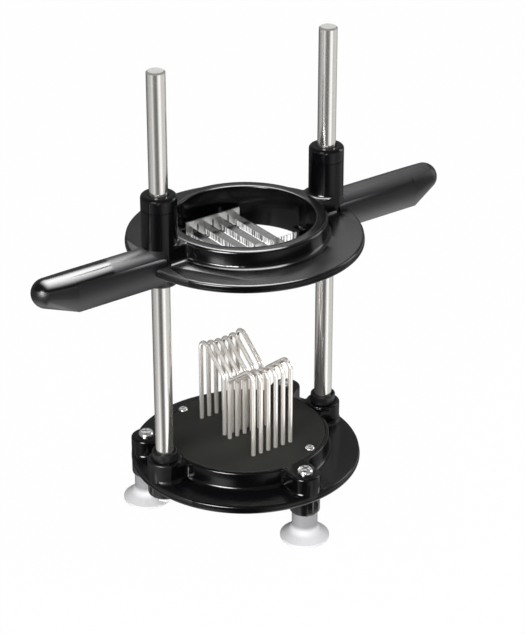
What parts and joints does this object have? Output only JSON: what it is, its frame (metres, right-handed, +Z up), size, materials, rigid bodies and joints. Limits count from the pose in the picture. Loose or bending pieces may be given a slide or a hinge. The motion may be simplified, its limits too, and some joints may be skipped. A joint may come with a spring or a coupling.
{
  "type": "lemon wedger",
  "caption": "Hand-pressed citrus wedger: a handled ring with toothed blades slides down two rods and drives a fruit, cradled on wire fingers, through the blades.",
  "frame": {"origin": "on the table, under the middle of the base, midway between the two guide rods", "axes": "+Z up along the guide rods, +X from the left rod to the right rod along the handles, -Y towards the single front foot"},
  "size_m": [0.314, 0.16, 0.321],
  "materials": {
    "black_plastic": "glossy moulded black, satin on the flanges",
    "bushes": "glossy black plain-bearing plastic",
    "pusher_plate": "matte charcoal",
    "wires": "satin stainless wire",
    "rods": "ground and polished stainless bar",
    "bumpers": "dark rubber",
    "feet": "milky translucent soft plastic",
    "inserts": "turned brass",
    "screws": "bright plated steel",
    "combs": "stainless sheet",
    "blades": "bright ground stainless sheet"
  },
  "bodies": {
    "base": {"base_housing": "black_plastic", "pusher_plate": "pusher_plate", "plate_screws": "screws", "wire_front_1": "wires", "wire_front_2": "wires", "wire_front_3": "wires", "wire_front_4": "wires", "wire_front_5": "wires", "wire_front_6": "wires", "wire_rear_1": "wires", "wire_rear_2": "wires", "wire_rear_3": "wires", "wire_rear_4": "wires", "wire_rear_5": "wires", "wire_rear_6": "wires", "left_guide_rod": "rods", "right_guide_rod": "rods", "left_rod_bumper": "bumpers", "right_rod_bumper": "bumpers", "rod_screws": "screws", "rod_washers": "screws", "front_suction_foot": "feet", "right_suction_foot": "feet", "left_suction_foot": "feet", "foot_inserts": "inserts", "foot_screws": "screws"},
    "carriage": {"carriage_housing": "black_plastic", "left_guide_bush": "bushes", "right_guide_bush": "bushes", "front_comb_plate": "combs", "rear_comb_plate": "combs", "blade_1": "blades", "blade_2": "blades", "blade_3": "blades", "blade_4": "blades", "cross_blade": "blades", "comb_screws": "screws", "cross_blade_pins": "screws"}
  },
  "joints": [
    {"name": "carriage_slide", "type": "slide", "parent": "base", "child": "carriage", "axis": [0, 0, 1], "range_m": [-0.1232, 0.078]}
  ]
}
